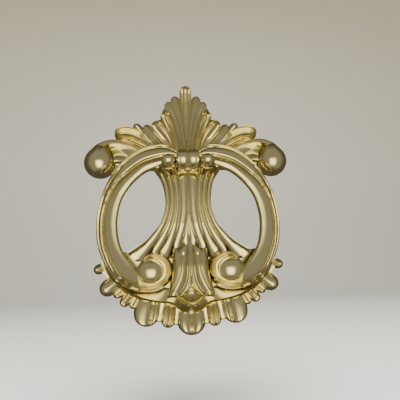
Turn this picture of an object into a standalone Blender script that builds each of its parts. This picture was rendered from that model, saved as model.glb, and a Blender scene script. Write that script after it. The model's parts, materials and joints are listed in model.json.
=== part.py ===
"""Door knocker: a cast acanthus backplate with a hinged scroll ring, as fitted through a door.

Metres, +Z up. The front faces -Y and the back of the plate lies on the door at Y = 0.
The origin is in the back plane, midway between the two mounting screws, which is also
the middle of the plate's height and width. Shapes are drawn as (x, z, h) in millimetres,
where h is the height above the door, and place() turns them into the object's own frame.
"""
import math

import bmesh
import bpy
from mathutils import Vector

MM = 0.001

# Driving dimensions, in millimetres.
GAP = 0.3                  # clearance between pieces that touch or slide
DOOR = 44.5                # thickness of the door the screws pass through

# Plate.
SLAB = 4.0                 # thickness under the relief
SUNK = -2.0                # relief reaches this far below the door plane, where it is cut off
POCKET_DEPTH = 2.8         # hollow in the back of the casting
RIM = 3.0                  # width of the rim left round the hollow
WEB_HALF = 5.0             # half height of the web left across the waist
BEHIND = -3.0              # holes and bosses are cut from here, behind the door plane
CLEAR = 7.0                # above the pocket, where the bosses and the web end
BALL = (54.3, 26.5, 3.6)   # middle of a side ball (x, z, h)
BALL_R = 10.3

# Hinge.
PIVOT_Z = 25.0
PIVOT_H = 16.2
PIN_R = 1.5
PIN_BORE_R = 1.75
PIN_LEFT = -13.4
PIN_RIGHT = 16.0
KNUCKLE_HALF = 6.0         # half length of the plate's knuckle, along the pin
KNUCKLE_R = 6.3
GADROON = 0.8              # how far its two gadroons swell
NECK = (5.4, 5.2)          # half width and half height of the neck under the knuckle

# Ring.
RING_BACK = 12.0           # height of its back above the door
RING_START = 6.8           # where each arm begins, beside the knuckle
KNUCKLE_ROOM_R = 12.3      # cleared round the knuckle, for the swing
VOLUTE_Z = -39.4
EYE_X = 22.2
EYE_H = 16.5
EYE_RADII = (8.8, 7.6, 6.0)
VOLUTE_DISC = (20.6, 8.6, 17.5)   # x, radius and top of the disc that backs a volute
FIST = (11.6, -0.6)        # middle of an arm's scrolled end, from the pivot (x, z)
FIST_RADII = (4.8, 5.6, 5.9)

# Screws, with their bosses and washers, and the strike stud.
SCREW_Z = 38.0
SCREW_R = 2.0
SCREW_BORE_R = 2.4
SCREW_TIP_H = 5.6
SCREW_CHAMFER = 0.6
LOWER_BORE_H = 9.0
BOSS_R = 5.5
HEAD_R = 4.2
HEAD_T = 2.6
SLOT = (1.1, 1.2)          # width and depth of the screw slots
WASHER_R = 6.5
WASHER_T = 1.2
STUD_Z = -47.0
STUD_R = 4.6
STUD_SHANK_R = 2.0
STUD_END_H = 0.8
STUD_BORE_H = 12.0
STUD_SEAT = (5.6, 0.05)    # radius and depth of the flat that the ring strikes with

# Relief leaves of the plate's right half: spine (x, z) from root to tip, half widths and
# crest heights along it. Each one is mirrored to the left unless it lies on the middle.
FAN_LEAVES = {
    "crown": (((0, 31), (0, 52), (0, 66), (0, 76.5)), (1.5, 3.3, 4.2, 3.3), (8.5, 8.0, 8.8, 9.5)),
    "plume_1": (((1.5, 31), (2.8, 50), (4.8, 61), (7.3, 69.8)), (1.4, 2.2, 2.6, 1.7), (8.2, 7.4, 7.4, 7.5)),
    "plume_2": (((2.6, 31), (5.2, 49), (8, 58), (11.8, 66)), (1.4, 2.3, 2.7, 1.8), (7.6, 6.8, 7, 7.5)),
    "plume_3": (((3.5, 31), (7, 46), (10.3, 55.5), (13.2, 61.6)), (1, 1.7, 1.7, 1.1), (5, 6, 6.5, 6.5)),
    "hoop_1": (((4.5, 31), (8, 43.5), (11.2, 52), (14, 59.3)), (1.3, 2.2, 2.7, 2.5), (5, 6, 7, 8)),
    "plume_4": (((6, 31), (9.5, 41.5), (13.5, 48.5), (17.6, 53.4)), (1, 1.5, 1.5, 0.9), (5, 5.5, 6.5, 6.5)),
    "hoop_2": (((8, 31), (12, 41), (16.3, 47), (20.8, 52)), (1.6, 3, 3.7, 3), (5, 5.5, 7, 8)),
    "plume_5": (((11, 31), (17, 39.5), (21.5, 45), (26, 50.3)), (1.3, 2.4, 2.6, 2), (5, 5.5, 6.5, 6.5)),
    "stub": (((20, 38), (27, 46), (32.6, 53)), (2.5, 3.3, 3), (5, 5.5, 6)),
    "long_leaf": (((15, 31), (24.5, 40.8), (33, 46), (40, 46.8), (45, 44.6)),
                  (2, 3.4, 3.4, 3, 1.9), (5, 5.5, 7.5, 8.5, 8)),
    "under_leaf": (((18, 31), (28, 37.2), (36, 40.5), (44, 41.2)), (1.5, 1.8, 1.8, 1.2), (5, 5.2, 6, 6)),
    "hood": (((24, 30), (34, 36), (44, 38), (53, 35.6), (60, 30)),
             (2, 2.2, 2.4, 2.4, 1.8), (5, 5.4, 7, 8, 7)),
    "scoop": (((28, 26.5), (39, 31), (50, 29)), (4, 5.5, 5.5), (5, 5.5, 6)),
}
FRINGE_LEAVES = {
    "bead": (((46, -33), (51, -37.2), (55.9, -38.6)), (1.6, 1.8, 2.3), (5, 5.5, 6.5)),
    "lobe": (((38, -39), (44, -45.5), (52, -51.5)), (3, 4.2, 4.6), (5.5, 7.5, 9.5)),
    "tab": (((30, -45), (35, -53), (40.3, -58.8)), (2.2, 3, 2.7), (5, 6.5, 7.5)),
    "big_petal": (((20.5, -49), (25.5, -60), (28.8, -71)), (4, 6.5, 6.8), (6, 8, 9.5)),
    "small_petal": (((10, -51), (12.8, -62), (14.5, -72.3)), (3, 3.7, 3.8), (6, 7.5, 8.5)),
    "middle_petal": (((0, -52), (0, -66), (0, -76.5)), (5, 7.2, 7.8), (6.5, 8.5, 10)),
    "filler_1": (((6, -53), (8.3, -62), (9.6, -69.8)), (1.5, 1.9, 1.6), (5.5, 6, 6.5)),
    "filler_2": (((15, -51), (18, -60), (19.8, -67.5)), (1.5, 2, 1.6), (5.5, 6, 6.5)),
    "filler_3": (((25.5, -46), (31, -55), (35.3, -62)), (1.5, 2, 1.6), (5.2, 5.8, 6)),
    "collar": (((50, -30.5), (47.2, -40), (39, -49.3), (26, -55.2), (12, -57.3), (-2, -57.8)),
               (2.2, 2.6, 2.6, 2.6, 2.6, 2.6), (5.5, 6.5, 6.8, 6.8, 6.8, 6.8)),
}

# Right half of the slab's outline (x, z): the head under the fan, the waist, and the foot
# under the fringe. The relief leaves overhang it all round.
HEAD_EDGE = ((0, 71), (5, 66), (10.5, 60), (15.5, 53), (21, 47), (28, 46), (36, 42.5), (45, 37.5), (51, 32),
             (50, 24), (45, 18.5), (37, 20), (28, 22.3))
WAIST_EDGE = ((21, 22.5), (16.4, 15), (14.3, 6), (14.1, -2), (16.5, -10), (20, -15.3), (27, -22.3),
              (37, -28.4))
FOOT_EDGE = ((46, -27.2), (50.6, -31), (50, -38), (46, -46.5), (37.5, -54.5), (27, -61.5), (13, -66),
             (0, -70))
WAIST_STEPS = 14
WAIST_SHARES = (-1.0, -0.75, -0.4, 0.0, 0.4, 0.75, 1.0)
WAIST_EDGE_H = 4.8
WAIST_RISE = 3.4

# The ring's right arm: outer and inner edge (x, z) and front height at each station, from
# the pivot over the shoulder, down the side and round the volute.
ARM = (
    ((RING_START, 30.6), (RING_START, 20.0), 22.6),
    ((12, 34.0), (12.5, 19.7), 22.6),
    ((19, 35.3), (19.5, 19.6), 22.0),
    ((28, 33.2), (26.5, 16.5), 21.8),
    ((37, 27.6), (33, 10.5), 21.6),
    ((45, 17.6), (38.2, 3), 21.4),
    ((50.8, 5), (40.6, -5), 21.2),
    ((53.6, -9), (41.4, -13), 21.0),
    ((53.2, -22), (40.2, -22.5), 20.8),
    ((49.8, -33), (37.5, -29.5), 20.6),
    ((43.5, -43), (33.6, -34.8), 20.4),
    ((35, -49.2), (30.5, -38.5), 20.2),
    ((26, -51.2), (27, -44.5), 20.0),
    ((19, -50.6), (20.5, -46), 20.2),
    ((13, -47.2), (15.8, -44), 20.4),
    ((10.2, -41.5), (14.2, -40.5), 20.6),
    ((10.4, -36.2), (14.4, -36.6), 20.8),
    ((14, -31.2), (16.6, -34), 21.0),
    ((20, -29), (20.8, -32.6), 20.6),
    ((26, -31.4), (24.4, -34.2), 20.0),
)
ARM_STEPS = 44
# Section of an arm: share of its width and of its height, from the outer edge round the front.
ARM_SECTION = ((0.0, 0.1), (0.04, 0.4), (0.2, 0.82), (0.5, 1.0), (0.8, 0.86), (0.97, 0.55), (1.0, 0.2),
               (0.9, 0.0), (0.1, 0.0))
# Fan of flutes between the volutes, down to its lip: half width, z and front height.
PALMETTE = ((3.5, -27.6, 16), (6, -29.5, 17.5), (9.5, -34, 18.5), (11.5, -39.5, 18.8), (10.8, -46, 19.6),
            (11.6, -51, 21.5), (11, -54.2, 22.8), (8.2, -57.6, 23), (4, -59.6, 22))
PALMETTE_STEPS = 12

BRASS = ("plated_brass", (0.83, 0.73, 0.47), 0.16, 1.0)
STEEL = ("zinc_plated_steel", (0.62, 0.63, 0.64), 0.32, 1.0)


def clear_scene():
    """Remove whatever objects the file holds."""
    for obj in list(bpy.data.objects):
        bpy.data.objects.remove(obj, do_unlink=True)


def place(x, z, h):
    """A point drawn in millimetres, h above the door, in the object's own frame."""
    return Vector((x * MM, -h * MM, z * MM))


def material(spec):
    """A plain material from its name, colour, roughness and metallic value."""
    name, colour, roughness, metallic = spec
    found = bpy.data.materials.get(name)
    if found:
        return found
    made = bpy.data.materials.new(name)
    made.use_nodes = True
    shader = made.node_tree.nodes["Principled BSDF"]
    shader.inputs["Base Color"].default_value = (*colour, 1.0)
    shader.inputs["Roughness"].default_value = roughness
    shader.inputs["Metallic"].default_value = metallic
    made.diffuse_color = (*colour, 1.0)
    return made


def finish_mesh(bm, name, spec, smooth_angle=math.radians(40)):
    """Turn a bmesh into an object with outward faces and its material."""
    bmesh.ops.recalc_face_normals(bm, faces=bm.faces[:])
    mesh = bpy.data.meshes.new(name)
    bm.to_mesh(mesh)
    bm.free()
    mesh.shade_smooth()
    mesh.set_sharp_from_angle(angle=smooth_angle)
    mesh.materials.append(material(spec))
    obj = bpy.data.objects.new(name, mesh)
    bpy.context.scene.collection.objects.link(obj)
    return obj


def guide(obj, collection):
    """Move a shape that only feeds a Boolean into its collection, out of the model."""
    obj.hide_render = True
    obj.display_type = "WIRE"
    for old in list(obj.users_collection):
        old.objects.unlink(obj)
    collection.objects.link(obj)
    return obj


def group(name):
    """A new collection for Boolean operands."""
    made = bpy.data.collections.new(name)
    bpy.context.scene.collection.children.link(made)
    return made


def boolean(obj, operation, collection):
    """Join or cut an object with every shape in a collection."""
    mod = obj.modifiers.new(operation.lower(), "BOOLEAN")
    mod.operation = operation
    mod.operand_type = "COLLECTION"
    mod.collection = collection
    mod.solver = "EXACT"


def loft(rows):
    """A closed body through rows of points, each row a closed loop of the same count."""
    around = len(rows[0])
    along = len(rows) - 1
    bm = bmesh.new()
    bmesh.ops.create_grid(bm, x_segments=around, y_segments=along, size=1.0)
    for vert in bm.verts:
        i = round((vert.co.x + 1) / 2 * around) % around
        j = round((vert.co.y + 1) / 2 * along)
        vert.co = rows[j][i]
    bmesh.ops.remove_doubles(bm, verts=bm.verts[:], dist=0.000001)
    rims = [edge for edge in bm.edges if edge.is_boundary]
    bmesh.ops.holes_fill(bm, edges=rims, sides=0)
    return bm


def cylinder(radius, start, end, segments=24):
    """A bmesh cylinder between two points of the object's frame; radius in millimetres."""
    axis = end - start
    bm = bmesh.new()
    bmesh.ops.create_cone(bm, cap_ends=True, segments=segments, radius1=radius * MM,
                          radius2=radius * MM, depth=axis.length)
    bmesh.ops.rotate(bm, verts=bm.verts[:], cent=(0, 0, 0),
                     matrix=axis.to_track_quat("Z", "Y").to_matrix())
    bmesh.ops.translate(bm, verts=bm.verts[:], vec=(start + end) / 2)
    return bm


def ellipsoid(x, z, h, radii, segments=16, rings=10):
    """A bmesh ball with radii along x, z and h."""
    bm = bmesh.new()
    bmesh.ops.create_uvsphere(bm, u_segments=segments, v_segments=rings, radius=MM)
    bmesh.ops.scale(bm, verts=bm.verts[:], vec=(radii[0], radii[2], radii[1]))
    bmesh.ops.translate(bm, verts=bm.verts[:], vec=place(x, z, h))
    return bm


def spline(points, t):
    """Catmull-Rom value at t from 0 to 1 through a row of tuples."""
    spans = len(points) - 1
    span = min(int(t * spans), spans - 1)
    f = t * spans - span
    p1, p2 = points[span], points[span + 1]
    p0 = points[span - 1] if span else tuple(2 * a - b for a, b in zip(p1, p2))
    p3 = points[span + 2] if span + 2 <= spans else tuple(2 * b - a for a, b in zip(p1, p2))
    return tuple(
        0.5 * (2 * b + (c - a) * f + (2 * a - 5 * b + 4 * c - d) * f * f
               + (3 * b - a - 3 * c + d) * f ** 3)
        for a, b, c, d in zip(p0, p1, p2, p3))


def leaf(spine, widths, crests, side):
    """One relief leaf with a round tip, as a closed body reaching below the door plane."""
    body_steps, tip_steps, samples = 2 * (len(spine) - 1), 3, 40
    foot = SLAB * 0.85
    path = [Vector(spline(spine, k / samples)) for k in range(samples + 1)]
    length = sum((b - a).length for a, b in zip(path, path[1:]))
    tip = widths[-1]
    body_end = 1 - tip / length
    stations = [(body_end * k / body_steps, 1.0) for k in range(body_steps + 1)]
    for k in range(1, tip_steps + 1):
        angle = math.radians(84) * k / tip_steps
        stations.append((body_end + tip / length * math.sin(angle), math.cos(angle)))
    rows = []
    for t, shrink in stations:
        x, z = spline(spine, t)
        ahead, behind = Vector(spline(spine, min(t + 0.02, 1))), Vector(spline(spine, max(t - 0.02, 0)))
        along = (ahead - behind).normalized()
        width = spline([(w,) for w in widths], t)[0] * shrink
        crest = SLAB + (spline([(c,) for c in crests], t)[0] - SLAB) * shrink
        across = Vector((along.y, -along.x)) * width
        row = []
        for u in (-1.0, -0.6, 0.0, 0.6, 1.0):
            rise = foot + (crest - foot) * math.sqrt(1 - u * u)
            row.append(place(side * (x + u * across.x), z + u * across.y, rise))
        for u in (1.0, -1.0):
            row.append(place(side * (x + u * across.x), z + u * across.y, SUNK))
        rows.append(row)
    return loft(rows)


def slab(outline, bottom, top):
    """A flat plate with a mirrored outline, between two heights."""
    points = [(x, z) for x, z in outline] + [(-x, z) for x, z in reversed(outline) if x > 0]
    bm = bmesh.new()
    face = bm.faces.new([bm.verts.new(place(x, z, bottom)) for x, z in points])
    walls = bmesh.ops.extrude_face_region(bm, geom=[face])
    raised = [item for item in walls["geom"] if isinstance(item, bmesh.types.BMVert)]
    bmesh.ops.translate(bm, verts=raised, vec=place(0, 0, top - bottom))
    bmesh.ops.recalc_face_normals(bm, faces=bm.faces[:])
    return bm


def block(half, low, high, bottom, top):
    """A rectangular block about the middle line, between two z and two heights."""
    return slab(((0, low), (half, low), (half, high), (0, high)), bottom, top)


def plate_outline():
    """The slab's right edge from top to bottom, with the waist's curve between its ends."""
    waist = [spline(WAIST_EDGE, k / WAIST_STEPS) for k in range(WAIST_STEPS + 1)]
    return list(HEAD_EDGE) + waist + list(FOOT_EDGE)


def inset_outline(outline, rim):
    """The same half outline drawn in by the rim width, for the hollow behind it."""
    loop = [Vector(point) for point in outline]
    full = loop + [Vector((-p.x, p.y)) for p in reversed(loop) if p.x > 0]
    count = len(full)
    area = sum(full[k].cross(full[(k + 1) % count]) for k in range(count))
    turn = 1 if area > 0 else -1
    drawn = []
    for k in range(len(loop)):
        back, here, ahead = full[k - 1], full[k], full[(k + 1) % count]
        first = (here - back).normalized()
        second = (ahead - here).normalized()
        normal = turn * Vector((-(first + second).y, (first + second).x)).normalized()
        reach = rim / max(normal.dot(turn * Vector((-first.y, first.x))), 0.5)
        point = here + normal * reach
        drawn.append((0.0 if abs(here.x) < 0.01 else point.x, point.y))
    return drawn


def waist_rows():
    """Cross rows of the waist, from the pivot down to the foot."""
    rows = []
    for k in range(WAIST_STEPS + 1):
        half, z = spline(WAIST_EDGE, k / WAIST_STEPS)
        row = []
        flare = min(1.0, 15.0 / half + 0.2)
        for u in WAIST_SHARES:
            rise = WAIST_EDGE_H + WAIST_RISE * math.sqrt(1 - 0.96 * u * u) * flare
            row.append(place(u * half, z, rise))
        row += [place(half, z, SUNK), place(-half, z, SUNK)]
        rows.append(row)
    return rows


def knuckle_rows():
    """Round sections along the pin, swelling into two gadroons."""
    rows = []
    steps, around = 8, 20
    for k in range(steps + 1):
        x = -KNUCKLE_HALF + 2 * KNUCKLE_HALF * k / steps
        swell = GADROON * abs(math.sin(math.pi * (x / KNUCKLE_HALF + 1)))
        radius = KNUCKLE_R - GADROON + swell
        rows.append([place(x, PIVOT_Z + radius * math.sin(a), PIVOT_H + radius * math.cos(a))
                     for a in (2 * math.pi * n / around for n in range(around))])
    return rows


def make_backplate():
    """The cast plate: slab, waist, knuckle and relief joined, then hollowed and drilled."""
    joined = group("plate_joined")
    for table in (FAN_LEAVES, FRINGE_LEAVES):
        for name, (spine, widths, crests) in table.items():
            sides = (1,) if spine[0][0] == 0 and spine[-1][0] == 0 else (1, -1)
            for side in sides:
                part = finish_mesh(leaf(spine, widths, crests, side), f"cut_{name}_{side}", BRASS)
                guide(part, joined)
    for side in (1, -1):
        ball = ellipsoid(side * BALL[0], BALL[1], BALL[2], (BALL_R, BALL_R, BALL_R), 18, 12)
        guide(finish_mesh(ball, f"cut_ball_{side}", BRASS), joined)
    guide(finish_mesh(loft(waist_rows()), "cut_waist", BRASS), joined)
    guide(finish_mesh(loft(knuckle_rows()), "cut_knuckle", BRASS), joined)
    neck = block(NECK[0], PIVOT_Z - NECK[1], PIVOT_Z + NECK[1], 1.0, PIVOT_H)
    guide(finish_mesh(neck, "cut_neck", BRASS), joined)

    cuts = group("plate_cuts")
    guide(finish_mesh(block(80, -90, 90, -9.0, 0.0), "cut_back", BRASS), cuts)
    hollow = slab(inset_outline(plate_outline(), RIM), -1.0, POCKET_DEPTH)
    pocket = finish_mesh(hollow, "cut_pocket", BRASS)
    kept = group("standing_in_pocket")
    for z in (SCREW_Z, -SCREW_Z, STUD_Z):
        boss = cylinder(BOSS_R, place(0, z, BEHIND), place(0, z, CLEAR))
        guide(finish_mesh(boss, f"cut_boss_{z:.0f}", BRASS), kept)
    guide(finish_mesh(block(20, -WEB_HALF, WEB_HALF, BEHIND, CLEAR), "cut_web", BRASS), kept)
    boolean(pocket, "DIFFERENCE", kept)
    guide(pocket, cuts)
    for z, deep in ((SCREW_Z, SCREW_TIP_H + GAP), (-SCREW_Z, LOWER_BORE_H)):
        hole = cylinder(SCREW_BORE_R, place(0, z, BEHIND), place(0, z, deep))
        guide(finish_mesh(hole, f"cut_screw_{z:.0f}", BRASS), cuts)
    stud_hole = cylinder(STUD_SHANK_R + GAP, place(0, STUD_Z, BEHIND), place(0, STUD_Z, STUD_BORE_H))
    guide(finish_mesh(stud_hole, "cut_stud", BRASS), cuts)
    bore = cylinder(PIN_BORE_R, place(-2 * KNUCKLE_HALF, PIVOT_Z, PIVOT_H),
                    place(2 * KNUCKLE_HALF, PIVOT_Z, PIVOT_H), 20)
    guide(finish_mesh(bore, "cut_bore", BRASS), cuts)

    plate = finish_mesh(slab(plate_outline(), -1.0, SLAB), "backplate", BRASS)
    boolean(plate, "UNION", joined)
    boolean(plate, "DIFFERENCE", cuts)
    return plate


def arm_rows(side):
    """Closed sections of one arm of the ring, from the pivot to the end of its volute."""
    rows = []
    for k in range(ARM_STEPS + 1):
        t = k / ARM_STEPS
        outer = Vector(spline([station[0] for station in ARM], t))
        inner = Vector(spline([station[1] for station in ARM], t))
        front = spline([(station[2],) for station in ARM], t)[0]
        depth = front - RING_BACK
        row = []
        for u, rise in ARM_SECTION:
            point = outer.lerp(inner, u)
            row.append(place(side * point.x, point.y, RING_BACK + depth * rise))
        rows.append(row)
    return rows


def palmette_rows():
    """Cross rows of the fan of flutes between the volutes, down to its lip."""
    rows = []
    for k in range(PALMETTE_STEPS + 1):
        half, z, front = spline(PALMETTE, k / PALMETTE_STEPS)
        row = []
        for u in (-1.0, -0.6, 0.0, 0.6, 1.0):
            row.append(place(u * half, z, RING_BACK + (front - RING_BACK) * (1 - 0.35 * u * u)))
        row += [place(half, z, RING_BACK), place(-half, z, RING_BACK)]
        rows.append(row)
    return rows


def make_ring(pivot):
    """The swinging ring: two arms with volutes, joined by the palmette and bored for the pin."""
    joined = group("ring_joined")
    guide(finish_mesh(loft(arm_rows(-1)), "cut_arm_left", BRASS), joined)
    guide(finish_mesh(loft(palmette_rows()), "cut_palmette", BRASS), joined)
    for side in (1, -1):
        eye = ellipsoid(side * EYE_X, VOLUTE_Z, EYE_H, EYE_RADII, 18, 12)
        guide(finish_mesh(eye, f"cut_eye_{side}", BRASS), joined)
        x, radius, top = VOLUTE_DISC
        web = cylinder(radius, place(side * x, VOLUTE_Z, RING_BACK + 0.4), place(side * x, VOLUTE_Z, top))
        guide(finish_mesh(web, f"cut_web_{side}", BRASS), joined)
        end = ellipsoid(side * FIST[0], PIVOT_Z + FIST[1], PIVOT_H, FIST_RADII, 16, 12)
        guide(finish_mesh(end, f"cut_end_{side}", BRASS), joined)
    cuts = group("ring_cuts")
    bore = cylinder(PIN_BORE_R, place(PIN_LEFT - GAP, PIVOT_Z, PIVOT_H), place(24, PIVOT_Z, PIVOT_H), 20)
    guide(finish_mesh(bore, "cut_ring_bore", BRASS), cuts)
    room = KNUCKLE_HALF + 2 * GAP
    clear = cylinder(KNUCKLE_ROOM_R, place(-room, PIVOT_Z, PIVOT_H), place(room, PIVOT_Z, PIVOT_H))
    guide(finish_mesh(clear, "cut_knuckle_room", BRASS), cuts)
    radius, depth = STUD_SEAT
    stud_seat = cylinder(radius, place(0, STUD_Z, RING_BACK - 4), place(0, STUD_Z, RING_BACK + depth))
    guide(finish_mesh(stud_seat, "cut_stud_seat", BRASS), cuts)
    ring = finish_mesh(loft(arm_rows(1)), "knocker_ring", BRASS)
    boolean(ring, "UNION", joined)
    boolean(ring, "DIFFERENCE", cuts)
    hang(ring, pivot)
    return ring


def hang(obj, pivot):
    """Put an object's origin on the pivot and parent it there, without moving its shape."""
    for vert in obj.data.vertices:
        vert.co -= pivot.location
    obj.parent = pivot


def make_pin(pivot):
    """The hinge pin, driven in from the right-hand scroll."""
    bm = cylinder(PIN_R, place(PIN_LEFT, PIVOT_Z, PIVOT_H), place(PIN_RIGHT, PIVOT_Z, PIVOT_H), 18)
    rims = [edge for edge in bm.edges if abs(edge.verts[0].co.x - edge.verts[1].co.x) < 0.0001]
    bmesh.ops.bevel(bm, geom=rims, offset=0.0003, segments=2, profile=0.5, affect="EDGES", material=-1)
    hang(finish_mesh(bm, "hinge_pin", STEEL), pivot)


def turned(profile, x, z, name, spec, segments=28):
    """A closed solid turned about the line through (x, z), from (radius, h) profile points."""
    bm = bmesh.new()
    verts = [bm.verts.new(place(x + radius, z, h)) for radius, h in profile]
    edges = [bm.edges.new(pair) for pair in zip(verts, verts[1:])]
    bmesh.ops.spin(bm, geom=verts + edges, cent=place(x, z, 0), axis=(0, 1, 0), angle=2 * math.pi,
                   steps=segments, use_merge=True)
    bmesh.ops.remove_doubles(bm, verts=bm.verts[:], dist=0.000001)
    return finish_mesh(bm, name, spec)


def make_stud():
    """The strike button that the ring lands on, with its shank in the plate."""
    top = RING_BACK - GAP
    base = SLAB + GAP
    profile = ((0, top), (2.4, top - 0.1), (3.9, top - 0.9), (STUD_R, top - 2.2), (STUD_R, base),
               (STUD_SHANK_R, base), (STUD_SHANK_R, STUD_END_H), (0, STUD_END_H))
    turned(profile, 0, STUD_Z, "strike_stud", BRASS)


def make_fastening(z, which):
    """One machine screw through the door with its washer; its point is in the plate's boss."""
    back = -DOOR
    head_under = back - WASHER_T - 2 * GAP
    head_top = head_under - HEAD_T
    profile = ((0, SCREW_TIP_H), (SCREW_R - SCREW_CHAMFER, SCREW_TIP_H),
               (SCREW_R, SCREW_TIP_H - SCREW_CHAMFER), (SCREW_R, head_under), (HEAD_R, head_under),
               (HEAD_R, head_under - 0.9), (HEAD_R * 0.86, head_top + 0.6), (HEAD_R * 0.5, head_top),
               (0, head_top))
    screw = turned(profile, 0, z, f"mounting_screw_{which}", STEEL)
    slot = group(f"slot_{which}")
    bm = bmesh.new()
    bmesh.ops.create_cube(bm, size=MM)
    bmesh.ops.scale(bm, verts=bm.verts[:], vec=(2.4 * HEAD_R, 2 * SLOT[1], SLOT[0]))
    bmesh.ops.translate(bm, verts=bm.verts[:], vec=place(0, z, head_top))
    guide(finish_mesh(bm, f"cut_slot_{which}", STEEL), slot)
    boolean(screw, "DIFFERENCE", slot)

    inner = SCREW_R + GAP
    outer_top = back - GAP
    profile = ((inner, outer_top), (WASHER_R, outer_top), (WASHER_R, outer_top - WASHER_T),
               (inner, outer_top - WASHER_T), (inner, outer_top))
    turned(profile, 0, z, f"washer_{which}", STEEL)


def main():
    """Build every piece of the knocker."""
    clear_scene()
    make_backplate()
    pivot = bpy.data.objects.new("ring_pivot", None)
    pivot.location = place(0, PIVOT_Z, PIVOT_H)
    bpy.context.scene.collection.objects.link(pivot)
    make_ring(pivot)
    make_pin(pivot)
    make_stud()
    make_fastening(SCREW_Z, "upper")
    make_fastening(-SCREW_Z, "lower")


main()
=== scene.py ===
"""Door knocker: the finished cast plate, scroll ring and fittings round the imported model.

Relief is drawn as (x, z, h) in millimetres, where h is the height above the door, on a
plate 153 mm high. place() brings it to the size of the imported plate, in metres.
"""
import json
import math

import bmesh
import bpy
from mathutils import Matrix, Vector

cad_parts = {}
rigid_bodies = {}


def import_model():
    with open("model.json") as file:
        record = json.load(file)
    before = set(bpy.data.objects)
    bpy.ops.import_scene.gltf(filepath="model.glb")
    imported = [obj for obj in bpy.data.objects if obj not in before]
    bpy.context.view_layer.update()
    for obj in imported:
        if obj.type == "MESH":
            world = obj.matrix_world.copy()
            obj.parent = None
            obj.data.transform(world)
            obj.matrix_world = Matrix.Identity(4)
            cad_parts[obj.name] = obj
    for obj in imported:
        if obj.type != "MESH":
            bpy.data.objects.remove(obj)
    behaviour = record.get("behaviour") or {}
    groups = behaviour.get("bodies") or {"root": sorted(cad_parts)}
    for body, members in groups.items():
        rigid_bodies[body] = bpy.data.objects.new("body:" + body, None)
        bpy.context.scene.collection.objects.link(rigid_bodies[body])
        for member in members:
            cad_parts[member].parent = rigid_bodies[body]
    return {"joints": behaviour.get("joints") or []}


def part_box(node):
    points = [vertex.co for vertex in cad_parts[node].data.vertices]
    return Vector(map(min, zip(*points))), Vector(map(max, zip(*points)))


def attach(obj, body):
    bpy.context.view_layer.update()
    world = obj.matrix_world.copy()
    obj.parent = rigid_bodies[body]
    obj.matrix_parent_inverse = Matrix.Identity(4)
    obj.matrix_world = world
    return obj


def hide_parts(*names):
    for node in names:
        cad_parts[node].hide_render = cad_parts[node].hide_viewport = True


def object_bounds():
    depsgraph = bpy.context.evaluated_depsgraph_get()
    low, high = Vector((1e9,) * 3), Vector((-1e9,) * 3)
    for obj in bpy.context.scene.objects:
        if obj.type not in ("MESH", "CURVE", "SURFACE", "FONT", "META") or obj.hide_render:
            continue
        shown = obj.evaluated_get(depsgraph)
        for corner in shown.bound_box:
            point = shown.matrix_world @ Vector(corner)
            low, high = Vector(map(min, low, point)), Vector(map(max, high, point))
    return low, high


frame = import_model()

bl_info = {
    "name": "Door knocker",
    "version": (1, 0, 0),
    "blender": (4, 5, 0),
    "location": "3D View > Sidebar > Knocker",
    "description": "Models the fine surface of a cast scroll-and-leaf door knocker and its studio",
    "category": "Object",
}

CAD_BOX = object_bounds()
PLATE_LO, PLATE_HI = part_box("backplate")
DRAWN_HEIGHT = 153.0
UNIT = (PLATE_HI.z - PLATE_LO.z) / DRAWN_HEIGHT
PIVOT = Vector(frame["joints"][0]["pos_m"])
PIVOT_Z = PIVOT.z / UNIT
PIVOT_H = -PIVOT.y / UNIT
SCREW_LO, SCREW_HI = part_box("mounting_screw_upper")
WASHER_LO, WASHER_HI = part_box("washer_upper")
PIN_LO, PIN_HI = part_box("hinge_pin")
STUD_LO, STUD_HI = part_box("strike_stud")
SCREW_Z = (SCREW_LO.z + SCREW_HI.z) / 2 / UNIT
STUD_Z = (STUD_LO.z + STUD_HI.z) / 2 / UNIT
# The ring's flat back and the plate's flat ground.
RING_BACK = 12.0
SLAB = 4.0
# How far leaves reach behind the door plane before the plate is cut off there.
BELOW = -2.0
# Side ball's middle (x, z, h) and radius.
BALL = (53.8, 27.1, 3.6)
BALL_R = 9.8
# Radii of the pin's bore, the screws' holes and the stud's hole.
PIN_BORE = 1.75
SCREW_BORE = 2.4
STUD_BORE = 2.3
# Screw thread: pitch and threaded length.
PITCH = 0.7
THREAD_LENGTH = 36.0
# Distances, in metres, at which points of one body and of a fused mesh are merged.
MERGE = 0.0000005
SLIVER = 0.0000002
# The studio floor, in metres.
FLOOR_Z = CAD_BOX[0].z - 0.05

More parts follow.
